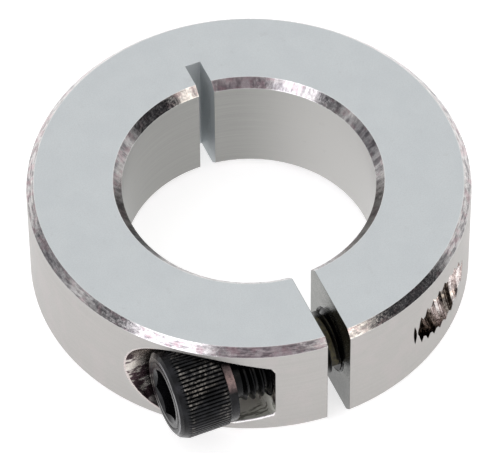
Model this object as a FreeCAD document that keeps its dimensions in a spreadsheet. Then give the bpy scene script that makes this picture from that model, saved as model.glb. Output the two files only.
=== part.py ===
import FreeCAD, Part
import math
import os
import Sketcher

# One-piece clamping shaft collar, inch series: 1 in bore, 1 3/4 in outside, 1/2 in wide,
# closed by a 1/4-28 UNF x 5/8 in socket head cap screw.
# Frame: origin in the middle of the bore, +Z along the bore, the slit on the -Y side,
# the screw parallel to X with its head on the -X side. Millimetres.

doc = FreeCAD.newDocument("shaft_collar")

# ---------------------------------------------------------------- driving sizes
SIZES = [
    ("outer_dia", 44.45, "ring outside diameter"),
    ("bore_dia", 25.4, "ring bore diameter"),
    ("ring_width", 12.7, "ring width along the bore"),
    ("outer_chamfer", 0.76, "45 degree chamfer on both outer edges"),
    ("bore_chamfer", 0.85, "45 degree chamfer on both bore edges"),
    ("slit_width", 2.38, "slit through the wall"),
    ("edge_break", 0.12, "broken edge round the counterbore's open pocket"),
    ("relief_width", 1.65, "width of the relief slot opposite the slit"),
    ("relief_end", 16.3, "how far the relief slot reaches from the bore axis"),
    ("relief_offset", 0.79, "relief slot centre, sideways from the slit's plane"),
    ("axis_offset", 17.35, "screw axis, measured from the bore axis"),
    ("seat_offset", 6.35, "counterbore floor, measured from the slit's centre"),
    ("counterbore_dia", 10.3, "counterbore for the screw head"),
    ("counterbore_corner", 0.22, "corner left by the tool at the counterbore floor"),
    ("clearance_dia", 6.75, "clearance hole through the head-side arm"),
    ("tap_drill_dia", 5.5, "minor diameter of the tapped hole"),
    ("tap_major_dia", 6.48, "major diameter of the tapped hole"),
    ("tap_mouth_dia", 6.9, "countersink where the tapped hole meets the slit"),
    ("thread_pitch", 0.907143, "28 threads per inch"),
    ("thread_major_dia", 6.29, "screw thread outside diameter"),
    ("thread_root_dia", 5.22, "screw thread root diameter"),
    ("thread_nominal_dia", 6.35, "nominal diameter both threads are measured from"),
    ("thread_backlash", 0.05, "axial play between the two threads"),
    ("screw_length", 15.875, "under the head to the tip"),
    ("screw_backed_out", 4.02, "gap between the head's bearing face and its seat"),
    ("head_dia", 9.4, "head over the knurl"),
    ("head_length", 6.1, "head height"),
    ("head_face_dia", 7.9, "flat front face of the head"),
    ("head_edge_dia", 8.75, "where the rounded front edge turns over"),
    ("head_edge_depth", 0.28, "how far back it turns over"),
    ("knurl_start", 1.05, "where the rounded front edge meets the knurl"),
    ("face_ring_dia", 6.9, "ring line turned in the front face"),
    ("face_ring_half", 0.12, "half the width of that line, and its depth"),
    ("band_dia", 9.0, "plain band next to the bearing face"),
    ("band_length", 0.8, "length of the plain band"),
    ("knurl_root_dia", 9.06, "bottom of the knurl grooves"),
    ("knurl_groove", 0.3, "width of one knurl groove at the head's surface"),
    ("knurl_count", 72, "straight grooves round the head"),
    ("knurl_lip", 0.05, "how far the groove outline stands clear of the head"),
    ("socket_flats", 4.76, "hex socket across its flats"),
    ("socket_depth", 3.1, "hex socket depth"),
    ("socket_cone", 1.0, "drill point below the hex socket"),
    ("socket_mouth_dia", 5.8, "countersink round the socket"),
    ("socket_mouth_depth", 0.3, "depth of that countersink"),
    ("neck_dia", 5.2, "plain neck under the head"),
    ("neck_length", 1.15, "length of the plain neck"),
    ("male_first", 1.307, "first turn of the screw's thread, from the bearing face"),
    ("tip_chamfer", 0.55, "chamfer on the screw's tip"),
    ("patch_start", 9.2, "locking ring, measured from the bearing face"),
    ("patch_length", 2.2, "locking ring length"),
    ("patch_outer_dia", 5.24, "locking ring outside diameter"),
    ("patch_inner_dia", 4.36, "locking ring inside diameter"),
    ("patch_play", 0.04, "play between the locking ring and its groove"),
    ("overcut", 2.0, "how far cutting profiles run past the material"),
]

# Sizes that follow from the ones above.
FORMULAS = [
    ("outer_rad", "outer_dia / 2"),
    ("bore_rad", "bore_dia / 2"),
    ("half_width", "ring_width / 2"),
    ("half_slit", "slit_width / 2"),
    ("screw_start", "-(seat_offset + screw_backed_out)"),
    ("sharp_slope", "tan(30deg)"),
    ("pitch_rad", "thread_nominal_dia / 2 - 3 / 8 * thread_pitch * cos(30deg)"),
    ("groove_reach", "thread_major_dia / 2 + 0.1"),
    ("male_root_half", "thread_pitch / 4 + thread_backlash / 2"
                       " - (pitch_rad - thread_root_dia / 2) * sharp_slope"),
    ("male_mouth_half", "male_root_half + (groove_reach - thread_root_dia / 2) * sharp_slope"),
    ("female_first", "screw_start + male_first + 10.5 * thread_pitch"),
    ("female_floor", "tap_major_dia / 2"),
    ("female_sill", "tap_drill_dia / 2 - 0.1"),
    ("female_floor_half", "thread_pitch / 4 - (female_floor - pitch_rad) * sharp_slope"),
    ("female_sill_half", "female_floor_half + (female_floor - female_sill) * sharp_slope"),
    ("male_run", "screw_length - male_first + thread_pitch"),
    ("female_run", "outer_rad - female_first"),
    ("patch_end", "patch_start + patch_length"),
    ("patch_groove_rad", "patch_inner_dia / 2 - patch_play"),
    ("socket_corner", "socket_flats / 2 / cos(30deg)"),
    ("socket_drill", "socket_flats / 2 - 0.05"),
]

sheet = doc.addObject("Spreadsheet::Sheet", "Sizes")
sheet.Label = "Sizes"
row = 1
for name, number, meaning in SIZES:
    sheet.set("A%d" % row, name)
    sheet.set("B%d" % row, str(number))
    sheet.set("C%d" % row, meaning)
    sheet.setAlias("B%d" % row, name)
    row += 1
for name, formula in FORMULAS:
    sheet.set("A%d" % row, name)
    sheet.set("B%d" % row, "=" + formula)
    sheet.setAlias("B%d" % row, name)
    row += 1
doc.recompute()
WALL_TOLERANCE = 0.01
ALIASES = [entry[0] for entry in SIZES] + [entry[0] for entry in FORMULAS]


# ---------------------------------------------------------------- helpers
def linked(formula):
    """The formula with every sheet name written as a reference to the sheet."""
    out = ""
    word = ""
    for letter in formula + " ":
        if letter.isalnum() or letter == "_":
            word += letter
            continue
        out += "Sizes." + word if word in ALIASES else word
        out += letter
        word = ""
    return out.strip()


def value(formula):
    result = sheet.evalExpression(linked(formula))
    return float(getattr(result, "Value", result))


def new_body(label):
    body = doc.addObject("PartDesign::Body", label)
    body.Label = label
    doc.recompute()
    return body


def origin_plane(body, role):
    for feature in body.Origin.OriginFeatures:
        if feature.Role == role:
            return feature
    raise ValueError("no origin plane " + role)


def new_sketch(body, name, role, shift_y=None, shift_z=None):
    """A sketch on one of the body's origin planes, shifted in the plane or along its normal."""
    sketch = body.newObject("Sketcher::SketchObject", name)
    sketch.AttachmentSupport = [(origin_plane(body, role), "")]
    sketch.MapMode = "FlatFace"
    if shift_y:
        sketch.setExpression("AttachmentOffset.Base.y", linked(shift_y))
    if shift_z:
        sketch.setExpression("AttachmentOffset.Base.z", linked(shift_z))
    doc.recompute()
    return sketch


def pin_corner(sketch, line, across, formula):
    """Hold the start of a line at a distance from the sketch's origin, across or up."""
    kind = "DistanceX" if across else "DistanceY"
    axis = -2 if across else -1
    if formula == "0":
        sketch.addConstraint(Sketcher.Constraint("PointOnObject", line, 1, axis))
        return
    index = sketch.addConstraint(Sketcher.Constraint(kind, -1, 1, line, 1, value(formula)))
    sketch.setExpression("Constraints[%d]" % index, linked(formula))


def outline(sketch, corners):
    """A closed outline; each corner is a pair of sheet formulas."""
    points = [FreeCAD.Vector(value(fx), value(fy), 0) for fx, fy in corners]
    count = len(points)
    for i in range(count):
        sketch.addGeometry(Part.LineSegment(points[i], points[(i + 1) % count]), False)
    for i in range(count):
        sketch.addConstraint(Sketcher.Constraint("Coincident", i, 2, (i + 1) % count, 1))
    for i, (fx, fy) in enumerate(corners):
        pin_corner(sketch, i, True, fx)
        pin_corner(sketch, i, False, fy)
    doc.recompute()


def finish_feature(body, feature, removes):
    """Recompute and make sure that the feature really added or removed material."""
    before = body.Shape.Volume if body.Shape and not body.Shape.isNull() else 0.0
    doc.recompute()
    body.Tip = feature
    doc.recompute()
    after = feature.Shape.Volume
    if removes and not after < before - 1e-4:
        raise ValueError(feature.Name + " removed nothing")
    if not removes and not after > before:
        raise ValueError(feature.Name + " added nothing")
    return feature


def revolve(body, name, sketch, axis):
    feature = body.newObject("PartDesign::Revolution", name)
    feature.Profile = sketch
    feature.ReferenceAxis = (sketch, [axis])
    feature.Angle = 360.0
    return finish_feature(body, feature, False)


def groove(body, name, sketch):
    feature = body.newObject("PartDesign::Groove", name)
    feature.Profile = sketch
    feature.ReferenceAxis = (sketch, ["H_Axis"])
    feature.Angle = 360.0
    return finish_feature(body, feature, True)


def cut_through(body, name, sketch):
    feature = body.newObject("PartDesign::Pocket", name)
    feature.Profile = sketch
    feature.Type = "ThroughAll"
    feature.Midplane = True
    return finish_feature(body, feature, True)


def cut_helix(body, name, sketch, run_formula):
    feature = body.newObject("PartDesign::SubtractiveHelix", name)
    feature.Profile = sketch
    feature.ReferenceAxis = (sketch, ["H_Axis"])
    feature.Mode = "pitch-height-angle"
    feature.setExpression("Pitch", linked("thread_pitch"))
    feature.setExpression("Height", linked(run_formula))
    feature.Angle = 0.0
    feature.LeftHanded = False
    feature.Reversed = False
    return finish_feature(body, feature, True)


# ---------------------------------------------------------------- collar ring
ring = new_body("collar_ring")

ring_section = new_sketch(ring, "ring_section", "XZ_Plane")
outline(ring_section, [
    ("bore_rad", "-half_width + bore_chamfer"),
    ("bore_rad + bore_chamfer", "-half_width"),
    ("outer_rad - outer_chamfer", "-half_width"),
    ("outer_rad", "-half_width + outer_chamfer"),
    ("outer_rad", "half_width - outer_chamfer"),
    ("outer_rad - outer_chamfer", "half_width"),
    ("bore_rad + bore_chamfer", "half_width"),
    ("bore_rad", "half_width - bore_chamfer"),
])
revolve(ring, "ring_blank", ring_section, "V_Axis")

slit_outline = new_sketch(ring, "slit_outline", "XY_Plane")
outline(slit_outline, [
    ("-half_slit", "-outer_rad - overcut"),
    ("half_slit", "-outer_rad - overcut"),
    ("half_slit", "-bore_rad + overcut"),
    ("-half_slit", "-bore_rad + overcut"),
])
cut_through(ring, "slit", slit_outline)

relief_outline = new_sketch(ring, "relief_outline", "XY_Plane")
outline(relief_outline, [
    ("relief_offset - relief_width / 2", "bore_rad - overcut"),
    ("relief_offset + relief_width / 2", "bore_rad - overcut"),
    ("relief_offset + relief_width / 2", "relief_end"),
    ("relief_offset - relief_width / 2", "relief_end"),
])
cut_through(ring, "relief_slot", relief_outline)

# Head-side arm: counterbore open to the outside, then the clearance hole to the slit.
head_hole = new_sketch(ring, "head_hole_section", "XY_Plane", shift_y="-axis_offset")
outline(head_hole, [
    ("-outer_rad - overcut", "0"),
    ("-outer_rad - overcut", "counterbore_dia / 2"),
    ("-seat_offset - counterbore_corner", "counterbore_dia / 2"),
    ("-seat_offset", "counterbore_dia / 2 - counterbore_corner"),
    ("-seat_offset", "clearance_dia / 2"),
    ("0", "clearance_dia / 2"),
    ("0", "0"),
])
head_pocket = groove(ring, "counterbored_hole", head_hole)


def on_outer_wall(edge):
    """True for an edge of the pocket that lies on the ring's outer cylinder, head side."""
    middle = edge.valueAt((edge.FirstParameter + edge.LastParameter) / 2)
    radius = math.hypot(middle.x, middle.y)
    on_wall = abs(radius - value("outer_rad")) < WALL_TOLERANCE
    in_pocket = middle.x < -value("seat_offset + 2 * counterbore_corner") and middle.y < 0
    in_height = abs(middle.z) < value("half_width - outer_chamfer") - WALL_TOLERANCE
    return on_wall and in_pocket and in_height


pocket_edges = []
for number, edge in enumerate(head_pocket.Shape.Edges):
    if on_outer_wall(edge):
        pocket_edges.append("Edge%d" % (number + 1))
if not pocket_edges:
    raise ValueError("no pocket edge found")
pocket_break = ring.newObject("PartDesign::Fillet", "pocket_edge_break")
pocket_break.Base = (head_pocket, pocket_edges)
pocket_break.setExpression("Radius", linked("edge_break"))
finish_feature(ring, pocket_break, True)

# Other arm: tap drill with a countersunk mouth, right through to the outside.
tap_hole = new_sketch(ring, "tap_hole_section", "XY_Plane", shift_y="-axis_offset")
outline(tap_hole, [
    ("0", "0"),
    ("0", "tap_mouth_dia / 2"),
    ("half_slit", "tap_mouth_dia / 2"),
    ("half_slit + (tap_mouth_dia - tap_drill_dia) / 2", "tap_drill_dia / 2"),
    ("outer_rad + overcut", "tap_drill_dia / 2"),
    ("outer_rad + overcut", "0"),
])
groove(ring, "tap_drill", tap_hole)

tap_thread = new_sketch(ring, "tap_thread_section", "XY_Plane", shift_y="-axis_offset")
outline(tap_thread, [
    ("female_first - female_sill_half", "female_sill"),
    ("female_first + female_sill_half", "female_sill"),
    ("female_first + female_floor_half", "female_floor"),
    ("female_first - female_floor_half", "female_floor"),
])
cut_helix(ring, "tapped_thread", tap_thread, "female_run")

# ---------------------------------------------------------------- clamp screw
# Drawn from its bearing face: the shank runs along +X, the head along -X.
screw = new_body("clamp_screw")

screw_section = new_sketch(screw, "screw_section", "XY_Plane")
outline(screw_section, [
    ("-head_length + socket_depth + socket_cone", "0"),
    ("-head_length + socket_depth", "socket_drill"),
    ("-head_length + socket_mouth_depth", "socket_drill"),
    ("-head_length", "socket_mouth_dia / 2"),
    ("-head_length", "face_ring_dia / 2 - face_ring_half"),
    ("-head_length + face_ring_half", "face_ring_dia / 2"),
    ("-head_length", "face_ring_dia / 2 + face_ring_half"),
    ("-head_length", "head_face_dia / 2"),
    ("-head_length + head_edge_depth", "head_edge_dia / 2"),
    ("-head_length + knurl_start", "head_dia / 2"),
    ("-band_length - (head_dia - band_dia) / 2", "head_dia / 2"),
    ("-band_length", "band_dia / 2"),
    ("0", "band_dia / 2"),
    ("0", "neck_dia / 2"),
    ("neck_length", "neck_dia / 2"),
    ("neck_length + (thread_major_dia - neck_dia) / 2", "thread_major_dia / 2"),
    ("patch_start - patch_play", "thread_major_dia / 2"),
    ("patch_start - patch_play", "patch_groove_rad"),
    ("patch_end + patch_play", "patch_groove_rad"),
    ("patch_end + patch_play", "thread_major_dia / 2"),
    ("screw_length - tip_chamfer", "thread_major_dia / 2"),
    ("screw_length", "thread_major_dia / 2 - tip_chamfer"),
    ("screw_length", "0"),
])
revolve(screw, "screw_blank", screw_section, "H_Axis")

screw_thread = new_sketch(screw, "screw_thread_section", "XY_Plane")
outline(screw_thread, [
    ("male_first - male_root_half", "thread_root_dia / 2"),
    ("male_first + male_root_half", "thread_root_dia / 2"),
    ("male_first + male_mouth_half", "groove_reach"),
    ("male_first - male_mouth_half", "groove_reach"),
])
cut_helix(screw, "screw_thread", screw_thread, "male_run")

socket_outline = new_sketch(screw, "socket_outline", "YZ_Plane", shift_z="-head_length")
outline(socket_outline, [
    ("0", "socket_corner"),
    ("-socket_flats / 2", "socket_corner / 2"),
    ("-socket_flats / 2", "-socket_corner / 2"),
    ("0", "-socket_corner"),
    ("socket_flats / 2", "-socket_corner / 2"),
    ("socket_flats / 2", "socket_corner / 2"),
])
hex_socket = screw.newObject("PartDesign::Pocket", "hex_socket")
hex_socket.Profile = socket_outline
hex_socket.Type = "Length"
hex_socket.setExpression("Length", linked("socket_depth"))
hex_socket.Reversed = True
finish_feature(screw, hex_socket, True)

knurl_outline = new_sketch(screw, "knurl_outline", "YZ_Plane", shift_z="-head_length")
outline(knurl_outline, [
    ("knurl_root_dia / 2", "0"),
    ("head_dia / 2 + knurl_lip", "knurl_groove / 2"),
    ("head_dia / 2 + knurl_lip", "-knurl_groove / 2"),
])
knurl_cut = screw.newObject("PartDesign::Pocket", "knurl_groove_cut")
knurl_cut.Profile = knurl_outline
knurl_cut.Type = "Length"
knurl_cut.setExpression("Length", linked("head_length - band_length"))
knurl_cut.Reversed = True
finish_feature(screw, knurl_cut, True)

knurl = screw.newObject("PartDesign::PolarPattern", "knurl")
knurl.Originals = [knurl_cut]
knurl.Axis = (knurl_outline, ["N_Axis"])
knurl.Angle = 360.0
knurl.setExpression("Occurrences", linked("knurl_count"))
finish_feature(screw, knurl, True)

# ---------------------------------------------------------------- thread locking ring
patch = new_body("thread_locking_patch")
patch_section = new_sketch(patch, "patch_section", "XY_Plane")
outline(patch_section, [
    ("patch_start", "patch_inner_dia / 2"),
    ("patch_end", "patch_inner_dia / 2"),
    ("patch_end", "patch_outer_dia / 2"),
    ("patch_start", "patch_outer_dia / 2"),
])
revolve(patch, "patch_ring", patch_section, "H_Axis")

for moved in (screw, patch):
    moved.setExpression("Placement.Base.x", linked("screw_start"))
    moved.setExpression("Placement.Base.y", linked("-axis_offset"))
doc.recompute()

# ---------------------------------------------------------------- checks and export
for item in doc.Objects:
    if "Invalid" in item.State or "Error" in item.State:
        raise ValueError(item.Name + " did not build: " + str(item.State))

os.makedirs("parts", exist_ok=True)
for body in (ring, screw, patch):
    if body.Shape.isNull() or not body.Shape.isValid():
        raise ValueError(body.Label + " has no valid shape")
    body.Shape.exportStep("parts/%s.step" % body.Label)
    print(body.Label, round(body.Shape.Volume, 2), body.Shape.BoundBox)
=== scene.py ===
import math

import bmesh
import bpy
from mathutils import Matrix, Vector


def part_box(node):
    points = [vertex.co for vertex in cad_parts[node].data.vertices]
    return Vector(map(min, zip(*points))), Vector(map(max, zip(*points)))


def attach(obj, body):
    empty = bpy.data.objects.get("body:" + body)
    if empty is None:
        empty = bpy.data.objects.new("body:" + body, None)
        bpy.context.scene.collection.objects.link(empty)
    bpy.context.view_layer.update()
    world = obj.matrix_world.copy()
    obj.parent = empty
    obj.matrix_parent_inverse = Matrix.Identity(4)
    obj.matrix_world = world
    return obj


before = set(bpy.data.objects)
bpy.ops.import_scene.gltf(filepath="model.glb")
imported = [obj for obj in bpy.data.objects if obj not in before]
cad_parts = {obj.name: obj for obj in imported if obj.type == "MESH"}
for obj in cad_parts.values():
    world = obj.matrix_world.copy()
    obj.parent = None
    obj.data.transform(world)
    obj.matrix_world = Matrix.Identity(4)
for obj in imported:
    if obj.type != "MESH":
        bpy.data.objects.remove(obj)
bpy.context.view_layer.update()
MM = 0.001

# ------------------------------------------------------------------ sizes, read from the frame
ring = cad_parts["collar_ring"]
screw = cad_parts["clamp_screw"]
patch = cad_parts["thread_locking_patch"]
ring_low, ring_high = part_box("collar_ring")
screw_low, screw_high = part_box("clamp_screw")
patch_low, patch_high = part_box("thread_locking_patch")
OUTER_R = ring_high.x
HALF_W = ring_high.z
BORE_R = 12.7 * MM
COUNTERBORE_R = 5.15 * MM
TAP_MOUTH_R = 3.45 * MM
OUTER_CHAMFER = 0.76 * MM
BORE_CHAMFER = 0.85 * MM
HALF_SLIT = 1.19 * MM
SEAT_X = -6.35 * MM
SCREW_LENGTH = 15.875 * MM
BAND_LENGTH = 0.8 * MM
FACE_EDGE_R = 3.95 * MM
PITCH = 0.907143 * MM
FIRST_GROOVE = 1.307 * MM
SCREW_Y = (screw_low.y + screw_high.y) / 2
HEAD_FRONT = screw_low.x
HEAD_R = (screw_high.z - screw_low.z) / 2
BEARING_X = screw_high.x - SCREW_LENGTH


# ------------------------------------------------------------------ node helpers
class Nodes:
    """A node tree, with short calls for the nodes used here."""

    def __init__(self, tree, coordinates="Object"):
        self.tree = tree
        tree.nodes.clear()
        self.place = self.add("ShaderNodeTexCoord").outputs[coordinates]

    def add(self, kind):
        return self.tree.nodes.new(kind)

    def link(self, source, target):
        self.tree.links.new(source, target)

    def feed(self, socket, value):
        if isinstance(value, bpy.types.NodeSocket):
            self.link(value, socket)
        else:
            socket.default_value = value

    def math(self, operation, *values):
        node = self.add("ShaderNodeMath")
        node.operation = operation
        for socket, value in zip(node.inputs, values):
            self.feed(socket, value)
        return node.outputs[0]

    def ramp(self, value, low, high):
        """0 below low, 1 above high, smooth in between."""
        node = self.add("ShaderNodeMapRange")
        node.interpolation_type = "SMOOTHSTEP"
        self.feed(node.inputs["Value"], value)
        node.inputs["From Min"].default_value = low
        node.inputs["From Max"].default_value = high
        return node.outputs["Result"]

    def span(self, value, low, high, soft):
        """1 between low and high, 0 outside."""
        return self.times(self.ramp(value, low - soft, low), self.below(value, high, high + soft))

    def below(self, value, low, high):
        """1 below low, 0 above high."""
        return self.flip(self.ramp(value, low, high))

    def times(self, first, second):
        return self.math("MULTIPLY", first, second)

    def gap(self, value, target):
        """How far a value is from a target."""
        return self.math("ABSOLUTE", self.math("SUBTRACT", value, target))

    def combine(self, x, y, z):
        node = self.add("ShaderNodeCombineXYZ")
        for socket, value in zip(node.inputs, (x, y, z)):
            self.feed(socket, value)
        return node.outputs[0]

    def split(self, vector):
        node = self.add("ShaderNodeSeparateXYZ")
        self.link(vector, node.inputs[0])
        return node.outputs

    def noise(self, vector, scale, detail=2.0, roughness=0.5):
        node = self.add("ShaderNodeTexNoise")
        self.link(vector, node.inputs["Vector"])
        node.inputs["Scale"].default_value = scale
        node.inputs["Detail"].default_value = detail
        node.inputs["Roughness"].default_value = roughness
        return node.outputs["Fac"]

    def mix(self, factor, first, second):
        node = self.add("ShaderNodeMix")
        node.data_type = "RGBA"
        self.feed(node.inputs["Factor"], factor)
        self.feed(node.inputs[6], first)
        self.feed(node.inputs[7], second)
        return node.outputs[2]

    def blend(self, factor, first, second):
        node = self.add("ShaderNodeMix")
        self.feed(node.inputs["Factor"], factor)
        self.feed(node.inputs[2], first)
        self.feed(node.inputs[3], second)
        return node.outputs[0]

    def bump(self, height, strength, distance, normal=None):
        node = self.add("ShaderNodeBump")
        node.inputs["Strength"].default_value = strength
        node.inputs["Distance"].default_value = distance
        self.link(height, node.inputs["Height"])
        if normal is not None:
            self.link(normal, node.inputs["Normal"])
        return node.outputs["Normal"]

    def face_normal(self):
        return self.add("ShaderNodeNewGeometry").outputs["True Normal"]

    def flip(self, value):
        return self.math("SUBTRACT", 1.0, value)

    def length2(self, a, b):
        return self.math("SQRT", self.math("ADD", self.math("MULTIPLY", a, a), self.math("MULTIPLY", b, b)))


def material_nodes(name):
    """A new material with a principled shader, ready for its colours."""
    material = bpy.data.materials.new(name)
    material.use_nodes = True
    n = Nodes(material.node_tree)
    n.material = material
    n.shader = n.add("ShaderNodeBsdfPrincipled")
    n.link(n.shader.outputs["BSDF"], n.add("ShaderNodeOutputMaterial").inputs["Surface"])
    return n


def around_ring(n, along, across):
    """Coordinates that run round the ring: blotches 1/along long and 1/across wide, with no seam."""
    x, y, z = n.split(n.place)
    radius = n.length2(x, y)
    stretch = n.math("DIVIDE", along * OUTER_R, radius)
    slant = n.math("MULTIPLY", n.math("SUBTRACT", radius, n.math("ABSOLUTE", z)), across)
    return n.combine(n.math("MULTIPLY", x, stretch), n.math("MULTIPLY", y, stretch),
                     n.math("ADD", slant, n.math("MULTIPLY", z, across * 0.3)))


# ------------------------------------------------------------------ aluminium ring
class RingZones:
    """Where each kind of surface of the ring lies: every mask is 1 on its own surface, 0 elsewhere."""

    def __init__(self, n):
        self.x, self.y, self.z = n.split(n.place)
        self.radius = n.length2(self.x, self.y)
        self.tall = n.math("ABSOLUTE", self.z)
        self.off_axis = n.length2(n.math("SUBTRACT", self.y, SCREW_Y), self.z)
        facing = n.math("ABSOLUTE", n.split(n.face_normal())[2])
        side = n.below(facing, 0.3, 0.5)
        inside = n.below(self.radius, OUTER_R - 0.06 * MM, OUTER_R - 0.02 * MM)

        self.chamfer = n.times(n.span(facing, 0.66, 0.75, 0.03),
                               n.ramp(self.tall, HALF_W - 1.0 * MM, HALF_W - 0.9 * MM))
        self.bore = n.times(side, n.below(n.gap(self.radius, BORE_R), 0.02 * MM, 0.06 * MM))
        self.wall = n.times(side, n.below(n.gap(self.radius, OUTER_R), 0.02 * MM, 0.06 * MM))
        self.slit = n.times(n.below(n.gap(self.x, 0.0), HALF_SLIT + 0.02 * MM, HALF_SLIT + 0.05 * MM),
                            n.below(self.y, -10.0 * MM, -9.0 * MM))
        tapped = n.times(n.below(self.off_axis, TAP_MOUTH_R + 0.01 * MM, TAP_MOUTH_R + 0.05 * MM),
                         n.ramp(self.x, HALF_SLIT + 0.02 * MM, HALF_SLIT + 0.04 * MM))
        self.tapped = n.times(tapped, inside)
        pocket = n.times(n.below(self.off_axis, COUNTERBORE_R + 0.05 * MM, COUNTERBORE_R + 0.10 * MM),
                         n.below(self.x, SEAT_X + 0.05 * MM, SEAT_X + 0.15 * MM))
        self.pocket = n.times(pocket, inside)
        # The part of the pocket below the screw's shank.
        self.low = n.times(n.below(self.z, -2.6 * MM, -1.6 * MM), n.ramp(self.x, -10.6 * MM, -10.1 * MM))


class RingNoise:
    """The ring's random textures: tumbled grain all over, turned lines that run round the axis."""

    def __init__(self, n):
        self.grain = n.noise(n.place, 9000.0, 3.0, 0.6)
        self.cloud = n.noise(n.place, 420.0, 3.0)
        self.stain = n.noise(n.place, 900.0, 4.0, 0.6)
        self.speckle = n.noise(n.place, 4200.0, 2.0, 0.5)
        self.turned = n.noise(around_ring(n, 60.0, 9000.0), 1.0, 2.0)
        self.mottle = n.noise(around_ring(n, 900.0, 2600.0), 1.0, 4.0, 0.6)
        self.streak = n.noise(around_ring(n, 160.0, 6000.0), 1.0, 2.0)


def wall_colour(n, zone, fields, colour):
    """Outer wall with turned lines and a faint pink cast, and the bore, made brighter towards +X by painted
    light.
    """
    lines = n.ramp(fields.turned, 0.2, 0.8)
    outer = n.mix(lines, (0.435, 0.424, 0.410, 1.0), (0.462, 0.450, 0.436, 1.0))
    colour = n.mix(zone.wall, colour, outer)
    blush = n.times(zone.wall, n.times(n.ramp(fields.cloud, 0.48, 0.62), 0.35))
    colour = n.mix(blush, colour, (0.49, 0.455, 0.45, 1.0))
    honed_with_painted_light = n.mix(lines, (0.31, 0.31, 0.30, 1.0), (0.35, 0.35, 0.335, 1.0))
    # Painted light: the bore's colour turns paler towards +X.
    honed_with_painted_light = n.mix(n.ramp(zone.x, 3.0 * MM, 12.5 * MM), honed_with_painted_light, (0.54, 0.535, 0.52, 1.0))
    return n.mix(zone.bore, colour, honed_with_painted_light)


def slit_colour(n, zone, fields, colour):
    """Sawn slit faces, darker towards the bottom with painted shade."""
    sawn = n.mix(n.ramp(fields.stain, 0.35, 0.7), (0.17, 0.175, 0.165, 1.0), (0.22, 0.22, 0.21, 1.0))
    colour = n.mix(zone.slit, colour, sawn)
    # Painted shade: the lower part of the slit faces darkened.
    painted_shade_low = n.times(zone.slit, n.times(n.below(zone.z, -4.5 * MM, -1.0 * MM), 0.5))
    return n.mix(painted_shade_low, colour, (0.06, 0.06, 0.06, 1.0))


def chamfer_colour(n, zone, fields, colour):
    """Mottled bright chamfers; the bore's are a little darker, with painted shade."""
    bright = n.mix(n.ramp(fields.mottle, 0.36, 0.62), (0.20, 0.19, 0.20, 1.0), (0.58, 0.565, 0.565, 1.0))
    bright = n.mix(n.times(n.ramp(fields.streak, 0.4, 0.7), 0.4), bright, (0.70, 0.67, 0.64, 1.0))
    bright = n.mix(n.times(n.ramp(fields.stain, 0.48, 0.62), 0.35), bright, (0.50, 0.33, 0.36, 1.0))
    # Painted shade: the bore's chamfer darkened.
    inner = n.times(n.below(zone.radius, 16.0 * MM, 17.0 * MM), 0.22)
    bright = n.mix(inner, bright, (0.10, 0.09, 0.095, 1.0))
    return n.mix(zone.chamfer, colour, bright)


def tapped_colour(n, zone, fields, colour):
    """Tapped hole, painted with its light: black painted shade near the slit, dark brown painted shade, a
    band of painted glint, then bright painted reflection towards the breakout.
    """
    dots = n.ramp(fields.speckle, 0.35, 0.65)
    # Dark brown painted shade and bright painted reflection, both speckled.
    painted_shade_brown = n.mix(dots, (0.10, 0.085, 0.075, 1.0), (0.34, 0.30, 0.27, 1.0))
    painted_reflection = n.mix(dots, (0.50, 0.44, 0.43, 1.0), (0.90, 0.84, 0.82, 1.0))
    # A band of painted glint across the threads.
    painted_glint = n.span(zone.x, 12.9 * MM, 13.9 * MM, 0.3 * MM)
    thread = n.mix(n.math("MAXIMUM", painted_glint, n.ramp(zone.x, 15.0 * MM, 15.5 * MM)), painted_shade_brown, painted_reflection)
    # Painted shade: black deep in the hole near the slit.
    thread = n.mix(n.ramp(zone.x, 5.0 * MM, 7.0 * MM), (0.05, 0.05, 0.05, 1.0), thread)
    return n.mix(zone.tapped, colour, thread)


def pocket_colour(n, zone, fields, colour):
    """Counterbore: cream metal with dark blotches drawn out along the screw, and a paler floor of painted
    light.
    """
    drawn = n.combine(n.times(zone.x, 260.0), n.times(zone.y, 700.0), n.times(zone.z, 700.0))
    blotch = n.noise(drawn, 1.0, 3.0, 0.65)
    cream = n.mix(n.ramp(fields.stain, 0.3, 0.7), (0.60, 0.55, 0.50, 1.0), (0.78, 0.74, 0.70, 1.0))
    bored = n.mix(n.ramp(blotch, 0.47, 0.53), (0.10, 0.065, 0.075, 1.0), cream)
    # Painted light: the pocket's floor below the shank made pale, with darker blotches.
    floor = n.mix(n.ramp(blotch, 0.40, 0.46), (0.34, 0.34, 0.30, 1.0), (0.95, 0.95, 0.88, 1.0))
    return n.mix(zone.pocket, colour, n.mix(zone.low, bored, floor))


def worn_and_highlit_edges(n, zone, fields):
    """1 along the lines where the faces meet the chamfers, which wear and a painted highlight lighten."""
    edges = None
    for at_radius, at_height in (
        (OUTER_R - OUTER_CHAMFER, HALF_W), (OUTER_R, HALF_W - OUTER_CHAMFER),
        (BORE_R + BORE_CHAMFER, HALF_W), (BORE_R, HALF_W - BORE_CHAMFER),
    ):
        across = n.math("SUBTRACT", zone.radius, at_radius)
        edge = n.length2(across, n.math("SUBTRACT", zone.tall, at_height))
        edges = edge if edges is None else n.math("MINIMUM", edges, edge)
    wander = n.math("ADD", edges, n.times(fields.stain, 0.08 * MM))
    return n.below(wander, 0.05 * MM, 0.13 * MM)


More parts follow.
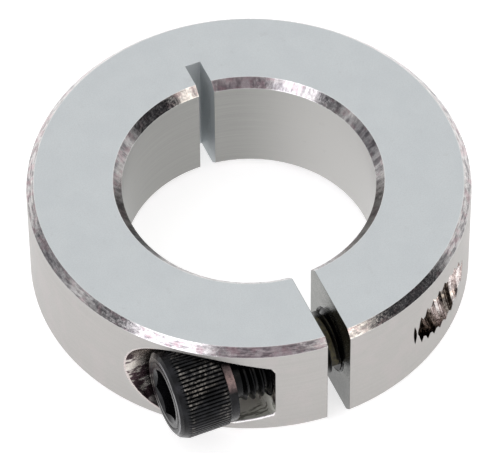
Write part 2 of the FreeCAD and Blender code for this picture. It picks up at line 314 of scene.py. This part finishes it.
def pocket_burr_and_highlight(n, zone, fields):
    """1 on the burr left round the mouth of the counterbore, widest at its lower edge, where it also carries
    a painted highlight.
    """
    off_mouth = n.math("SUBTRACT", zone.off_axis, COUNTERBORE_R)
    rim = n.length2(off_mouth, n.math("SUBTRACT", zone.radius, OUTER_R))
    rim = n.math("ADD", rim, n.times(fields.speckle, 0.24 * MM))
    rim = n.math("SUBTRACT", rim, n.times(zone.low, 0.12 * MM))
    clear_of_seat = n.below(zone.x, SEAT_X - 0.15 * MM, SEAT_X - 0.05 * MM)
    return n.times(n.below(rim, 0.17 * MM, 0.25 * MM), clear_of_seat)


def ring_material():
    n = material_nodes("machined_aluminium")
    zone = RingZones(n)
    fields = RingNoise(n)
    burr_and_highlight = pocket_burr_and_highlight(n, zone, fields)

    colour = n.mix(n.ramp(fields.cloud, 0.3, 0.7), (0.550, 0.580, 0.595, 1.0), (0.570, 0.600, 0.613, 1.0))
    colour = n.mix(n.times(n.ramp(fields.grain, 0.35, 0.7), 0.25), colour, (0.46, 0.48, 0.485, 1.0))
    for paint in (wall_colour, slit_colour, chamfer_colour, tapped_colour, pocket_colour):
        colour = paint(n, zone, fields, colour)
    dirt = n.times(n.ramp(fields.stain, 0.62, 0.75), 0.10)
    colour = n.mix(dirt, colour, (0.27, 0.26, 0.25, 1.0))
    # Edges lightened: wear and a painted highlight.
    colour = n.mix(n.times(worn_and_highlit_edges(n, zone, fields), 0.5), colour, (0.75, 0.75, 0.74, 1.0))
    # The burr painted pale, and white along the lower edge as a painted highlight.
    burr_highlight_colour = n.mix(zone.low, (0.62, 0.56, 0.54, 1.0), (0.97, 0.95, 0.95, 1.0))
    colour = n.mix(burr_and_highlight, colour, burr_highlight_colour)

    # Roughness: the least and the most of each surface, in the order in which they are laid on.
    grainy = n.ramp(fields.grain, 0.3, 0.7)
    rough = n.blend(grainy, 0.46, 0.60)
    rough = n.blend(zone.chamfer, rough, n.blend(n.ramp(fields.speckle, 0.35, 0.65), 0.10, 0.26))
    rough = n.blend(zone.bore, rough, 0.36)
    rough = n.blend(zone.tapped, rough, n.blend(n.ramp(fields.speckle, 0.4, 0.6), 0.08, 0.24))
    rough = n.blend(zone.slit, rough, n.blend(grainy, 0.16, 0.28))
    rough = n.blend(zone.pocket, rough, n.blend(grainy, 0.14, 0.28))
    rough = n.blend(burr_and_highlight, rough, 0.18)
    shiny = n.math("MAXIMUM", zone.chamfer, zone.slit)
    shiny = n.math("MAXIMUM", shiny, n.math("MAXIMUM", zone.tapped, zone.pocket))
    metal = n.blend(shiny, 0.70, 1.0)
    metal = n.blend(n.times(zone.pocket, zone.low), metal, 0.25)

    fine = n.bump(fields.grain, 0.35, 0.006 * MM)
    lines = n.bump(fields.turned, 0.12, 0.01 * MM, fine)
    waves = n.bump(fields.mottle, 0.35, 0.03 * MM, lines)
    n.feed(n.shader.inputs["Base Color"], colour)
    n.feed(n.shader.inputs["Roughness"], rough)
    n.feed(n.shader.inputs["Metallic"], metal)
    n.feed(n.shader.inputs["Normal"], waves)
    return n.material


# ------------------------------------------------------------------ black oxide screw
def screw_material():
    n = material_nodes("black_oxide_steel")
    x, y, z = n.split(n.place)
    off_axis = n.length2(n.math("SUBTRACT", y, SCREW_Y), z)
    grain = n.noise(n.place, 7000.0, 3.0, 0.6)
    cloud = n.noise(n.place, 900.0, 3.0)
    rub = n.noise(n.place, 2600.0, 4.0, 0.7)
    patchy = n.noise(n.place, 420.0, 2.0)
    base = n.mix(n.ramp(cloud, 0.35, 0.7), (0.003, 0.0033, 0.004, 1.0), (0.014, 0.0145, 0.017, 1.0))

    # Knurl crests bright in patches: rubbed wear and painted glints.
    crest_wear_and_glint = n.times(n.ramp(off_axis, HEAD_R - 0.05 * MM, HEAD_R - 0.005 * MM), n.ramp(rub, 0.40, 0.7))
    crest_wear_and_glint = n.times(crest_wear_and_glint, n.ramp(patchy, 0.42, 0.62))
    base = n.mix(n.times(crest_wear_and_glint, 0.8), base, (0.30, 0.28, 0.255, 1.0))

    # A painted pinkish highlight on the plain band, above the axis on the open side.
    band = n.span(x, BEARING_X - BAND_LENGTH, BEARING_X, 0.05 * MM)
    toward = n.math("SUBTRACT", SCREW_Y, y)
    # Painted highlight on the band.
    painted_band_highlight = n.times(n.span(z, 2.9 * MM, 3.4 * MM, 0.9 * MM), n.ramp(toward, 0.0, 1.0 * MM))
    painted_band_highlight = n.times(painted_band_highlight, n.blend(n.ramp(rub, 0.3, 0.6), 0.25, 0.6))
    base = n.mix(n.times(band, painted_band_highlight), base, (0.34, 0.24, 0.235, 1.0))

    # Shank and front face darkened as painted shade and made less specular, with a painted highlight line
    # where the face's edge turns over.
    shank = n.ramp(x, BEARING_X, BEARING_X + 0.1 * MM)
    face = n.below(x, HEAD_FRONT + 0.02 * MM, HEAD_FRONT + 0.06 * MM)
    # Painted shade on the shank and front face, which are also less specular.
    dull_and_shaded = n.math("MAXIMUM", n.times(shank, 0.8), n.times(face, 0.9))
    base = n.mix(dull_and_shaded, base, (0.0012, 0.0013, 0.0016, 1.0))
    # Painted highlight: a pale ring where the face's edge turns over.
    face_edge_highlight = n.times(n.span(off_axis, FACE_EDGE_R - 0.07 * MM, FACE_EDGE_R + 0.04 * MM, 0.04 * MM),
                          n.below(x, HEAD_FRONT + 0.1 * MM, HEAD_FRONT + 0.2 * MM))
    base = n.mix(n.times(face_edge_highlight, n.ramp(patchy, 0.42, 0.60)), base, (0.20, 0.20, 0.21, 1.0))

    n.feed(n.shader.inputs["Base Color"], base)
    n.feed(n.shader.inputs["Roughness"], n.blend(n.ramp(grain, 0.3, 0.7), 0.22, 0.38))
    n.feed(n.shader.inputs["Specular IOR Level"], n.blend(dull_and_shaded, 0.45, 0.25))
    n.shader.inputs["Metallic"].default_value = 0.75
    n.shader.inputs["Coat Weight"].default_value = 0.05
    n.shader.inputs["Coat Roughness"].default_value = 0.25
    n.feed(n.shader.inputs["Normal"], n.bump(grain, 0.3, 0.006 * MM, n.bump(rub, 0.2, 0.01 * MM)))
    return n.material


# ------------------------------------------------------------------ nylon locking ring
def patch_material():
    n = material_nodes("locking_nylon")
    cloud = n.noise(n.place, 2500.0, 3.0)
    grain = n.noise(n.place, 9000.0, 2.0)
    colour = n.mix(n.ramp(cloud, 0.35, 0.7), (0.022, 0.018, 0.006, 1.0), (0.085, 0.07, 0.02, 1.0))
    n.feed(n.shader.inputs["Base Color"], colour)
    n.feed(n.shader.inputs["Roughness"], n.blend(n.ramp(grain, 0.3, 0.7), 0.42, 0.6))
    n.shader.inputs["Subsurface Weight"].default_value = 0.1
    n.shader.inputs["Subsurface Radius"].default_value = (0.0006, 0.0005, 0.0002)
    n.feed(n.shader.inputs["Normal"], n.bump(cloud, 0.4, 0.02 * MM))
    return n.material


def dress(obj, material):
    obj.data.materials.clear()
    obj.data.materials.append(material)


def thread_ridge():
    """The screw's thread carried on over the locking ring: one helical ridge that turns with the screw."""
    foot_half, crest_half = 0.165 * MM, 0.045 * MM
    foot_r, crest_r = 2.63 * MM, 3.135 * MM
    section = ((-foot_half, foot_r), (-crest_half, crest_r), (crest_half, crest_r), (foot_half, foot_r))
    groove_play, end_play = 0.05 * MM, 0.17 * MM
    low, high = patch_low.x - groove_play, patch_high.x + groove_play
    steps = 96
    first = BEARING_X + FIRST_GROOVE + PITCH / 2
    turns_before = math.floor((low - first) / PITCH) - 1
    turns_after = math.ceil((high - first) / PITCH) + 1
    bm = bmesh.new()
    rows = []
    for i in range(turns_before * steps, turns_after * steps + 1):
        angle = 2 * math.pi * i / steps
        centre = first + PITCH * i / steps
        if not low + end_play < centre < high - end_play:
            continue
        rows.append([bm.verts.new((centre + across, SCREW_Y + r * math.cos(angle), r * math.sin(angle)))
                     for across, r in section])
    sides = len(section)
    for before, after in zip(rows, rows[1:]):
        for k in range(sides):
            m = (k + 1) % sides
            bm.faces.new((before[k], before[m], after[m], after[k]))
    bm.faces.new(rows[0])
    bm.faces.new(reversed(rows[-1]))
    bmesh.ops.recalc_face_normals(bm, faces=bm.faces)
    mesh = bpy.data.meshes.new("locking_thread_ridge")
    bm.to_mesh(mesh)
    bm.free()
    obj = bpy.data.objects.new("locking_thread_ridge", mesh)
    bpy.context.scene.collection.objects.link(obj)
    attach(obj, "screw")
    return obj


black_oxide = screw_material()
dress(ring, ring_material())
dress(screw, black_oxide)
dress(patch, patch_material())
dress(thread_ridge(), black_oxide)


# ------------------------------------------------------------------ floor, light, camera
def floor_piece():
    """A pale floor that glows a little, just clear of the ring's lower face."""
    mesh = bpy.data.meshes.new("studio_floor")
    reach = 1.5
    level = -HALF_W - 0.03 * MM
    corners = [(-reach, -reach, level), (reach, -reach, level), (reach, reach, level), (-reach, reach, level)]
    mesh.from_pydata(corners, [], [(0, 1, 2, 3)])
    obj = bpy.data.objects.new("studio_floor", mesh)
    bpy.context.scene.collection.objects.link(obj)
    n = material_nodes("floor_paint")
    tone = n.noise(n.place, 12.0, 2.0)
    n.feed(n.shader.inputs["Base Color"], n.mix(tone, (0.60, 0.60, 0.60, 1.0), (0.62, 0.62, 0.62, 1.0)))
    n.shader.inputs["Roughness"].default_value = 0.8
    n.shader.inputs["Emission Color"].default_value = (1.0, 1.0, 1.0, 1.0)
    n.shader.inputs["Emission Strength"].default_value = 0.68
    obj.data.materials.append(n.material)


def top_light():
    """A square soft light above and behind the collar, which looks at it."""
    side, power, distance = 0.5, 0.12, 0.6
    data = bpy.data.lights.new("top_light", "AREA")
    data.shape = "SQUARE"
    data.size = side
    data.energy = power
    obj = bpy.data.objects.new("top_light", data)
    bpy.context.scene.collection.objects.link(obj)
    aim = Vector((0.15, 0.35, 1.0)).normalized()
    obj.location = aim * distance
    obj.rotation_euler = aim.to_track_quat("Z", "Y").to_euler()


# Darker and brighter patches of an otherwise white studio: azimuth and elevation of the middle,
# inner and outer half-width in degrees, brightness, tint.
PATCHES = [
    (-178, 30, 7, 17, 0.25, (1.0, 1.0, 1.05)),
    (145, 15, 9, 20, 0.35, (1.0, 1.0, 1.05)),
    (-107, 41, 14, 23, 0.44, (1.06, 0.92, 1.0)),
    (-36, 24, 14, 27, 0.05, (1.0, 1.0, 1.1)),
    (-152, 37, 11, 17, 2.8, (0.99, 0.97, 1.02)),
    (-66, 35, 5, 10, 2.4, (1.04, 0.97, 0.88)),
]


def direction(azimuth, elevation):
    """The unit vector towards an azimuth and elevation in degrees."""
    a, e = math.radians(azimuth), math.radians(elevation)
    return Vector((math.cos(a) * math.cos(e), math.sin(a) * math.cos(e), math.sin(e)))


def lights():
    """The world's light, even white but for its patches, and one weak light from above."""
    world = bpy.data.worlds.new("studio")
    world.use_nodes = True
    n = Nodes(world.node_tree, "Generated")
    light = (1.0, 1.0, 1.0, 1.0)
    for azimuth, elevation, inner, outer, level, tint in PATCHES:
        node = n.add("ShaderNodeVectorMath")
        node.operation = "DOT_PRODUCT"
        n.link(n.place, node.inputs[0])
        node.inputs[1].default_value = direction(azimuth, elevation)
        within = n.ramp(node.outputs["Value"], math.cos(math.radians(outer)), math.cos(math.radians(inner)))
        light = n.mix(within, light, tuple(level * part for part in tint) + (1.0,))
    back = n.add("ShaderNodeBackground")
    n.feed(back.inputs["Color"], light)
    back.inputs["Strength"].default_value = 1.0
    n.link(back.outputs[0], n.add("ShaderNodeOutputWorld").inputs["Surface"])
    bpy.context.scene.world = world
    top_light()


def camera():
    """The viewpoint: azimuth from -Y, elevation and roll, distance, and a small shift of the aim."""
    azimuth, elevation, roll = math.radians(-22.9), math.radians(50.22), math.radians(-0.53)
    distance, slide, lift = 478.65 * MM, 0.0845 * MM, -0.7445 * MM
    lens_mm, sensor_mm = 342.298, 36.0
    level = math.cos(elevation)
    back = Vector((math.sin(azimuth) * level, -math.cos(azimuth) * level, math.sin(elevation)))
    right = Vector((math.cos(azimuth), math.sin(azimuth), 0.0))
    up = back.cross(right)
    across = math.cos(roll) * right + math.sin(roll) * up
    tall = -math.sin(roll) * right + math.cos(roll) * up
    data = bpy.data.cameras.new("camera")
    data.sensor_fit = "HORIZONTAL"
    data.sensor_width = sensor_mm
    data.lens = lens_mm
    data.clip_start = 0.01
    data.clip_end = 10.0
    obj = bpy.data.objects.new("camera", data)
    bpy.context.scene.collection.objects.link(obj)
    spot = distance * back + slide * across + lift * tall
    turn = Matrix((across, tall, back)).transposed()
    obj.matrix_world = Matrix.Translation(spot) @ turn.to_4x4()
    bpy.context.scene.camera = obj


bpy.context.scene.view_settings.view_transform = "Standard"
floor_piece()
lights()
camera()
